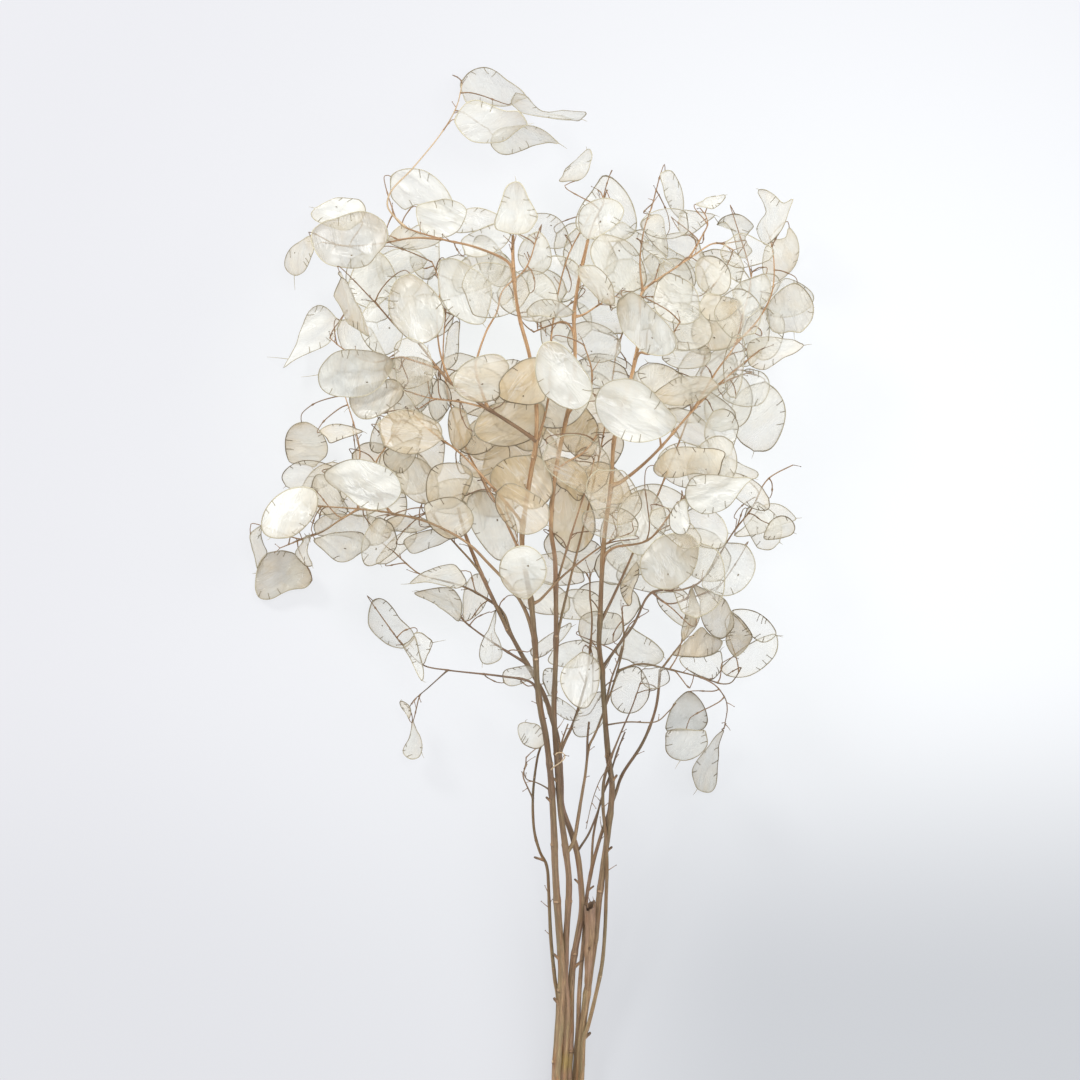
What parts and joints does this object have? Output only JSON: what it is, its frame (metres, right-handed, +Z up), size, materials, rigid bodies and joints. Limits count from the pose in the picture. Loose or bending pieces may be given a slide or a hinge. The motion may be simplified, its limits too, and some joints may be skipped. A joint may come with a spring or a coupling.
{
  "type": "dried honesty seed pod stem",
  "caption": "Cut, dried honesty plant: slender woody stems from one root collar, branching into racemes of flat, translucent, silvery oval seed pods on thin curved stalks.",
  "frame": {"origin": "centre of the bounding box in plan, on the surface that the plant lies on", "axes": "+Y from the cut root collar towards the plant's tips, +Z up, away from the surface"},
  "size_m": [0.3749, 0.7328, 0.1949],
  "materials": {
    "collar_bark": "matte, grey-brown woody root collar with a pale cut face",
    "stem_bark": "matte tan-brown dry bark with fine lengthwise streaks, nodes and scars",
    "silvery_pods": "satin, papery translucent silver-cream membrane with a thin olive-brown rim and short dark seed stalks"
  },
  "bodies": {
    "root": {"root_collar": "collar_bark", "stem_left": "stem_bark", "stem_left_centre": "stem_bark", "stem_centre": "stem_bark", "stem_right": "stem_bark", "stem_thin_right": "stem_bark", "stem_right_centre": "stem_bark", "stem_thin_left": "stem_bark", "stem_broken": "stem_bark", "raceme_inner_right": "silvery_pods", "raceme_inner_centre": "silvery_pods", "raceme_leader_tip": "silvery_pods", "raceme_upper_left": "silvery_pods", "raceme_top_spray": "silvery_pods", "raceme_left_shoulder": "silvery_pods", "raceme_long_left": "silvery_pods", "raceme_far_left": "silvery_pods", "raceme_left_upright": "silvery_pods", "raceme_left_level": "silvery_pods", "raceme_upper_crossing": "silvery_pods", "raceme_centre_left": "silvery_pods", "raceme_low_left_long": "silvery_pods", "raceme_low_left_inner": "silvery_pods", "raceme_low_left_rising": "silvery_pods", "raceme_low_left_tip": "silvery_pods", "raceme_left_drooping": "silvery_pods", "raceme_front_low": "silvery_pods", "raceme_lowest_left": "silvery_pods", "raceme_lowest_left_tip": "silvery_pods", "raceme_left_end": "silvery_pods", "raceme_middle_left": "silvery_pods", "raceme_middle_right": "silvery_pods", "raceme_middle_tip": "silvery_pods", "raceme_front_middle": "silvery_pods", "raceme_core": "silvery_pods", "raceme_upper_right": "silvery_pods", "raceme_upper_right_rising": "silvery_pods", "raceme_front_right": "silvery_pods", "raceme_upper_right_inner": "silvery_pods", "raceme_long_right": "silvery_pods", "raceme_right_short": "silvery_pods", "raceme_right_rising": "silvery_pods", "raceme_front_bright": "silvery_pods", "raceme_right_edge": "silvery_pods", "raceme_crossing_right": "silvery_pods", "raceme_core_rising": "silvery_pods", "raceme_right_level": "silvery_pods", "raceme_far_right": "silvery_pods", "raceme_lower_right": "silvery_pods", "raceme_lowest_right": "silvery_pods", "raceme_lowest_right_tip": "silvery_pods", "raceme_low_right_end": "silvery_pods", "raceme_low_front": "silvery_pods", "raceme_back_centre": "silvery_pods", "raceme_back_right": "silvery_pods", "raceme_back_left": "silvery_pods", "raceme_back_top": "silvery_pods", "raceme_thin_left": "silvery_pods"}
  },
  "joints": []
}
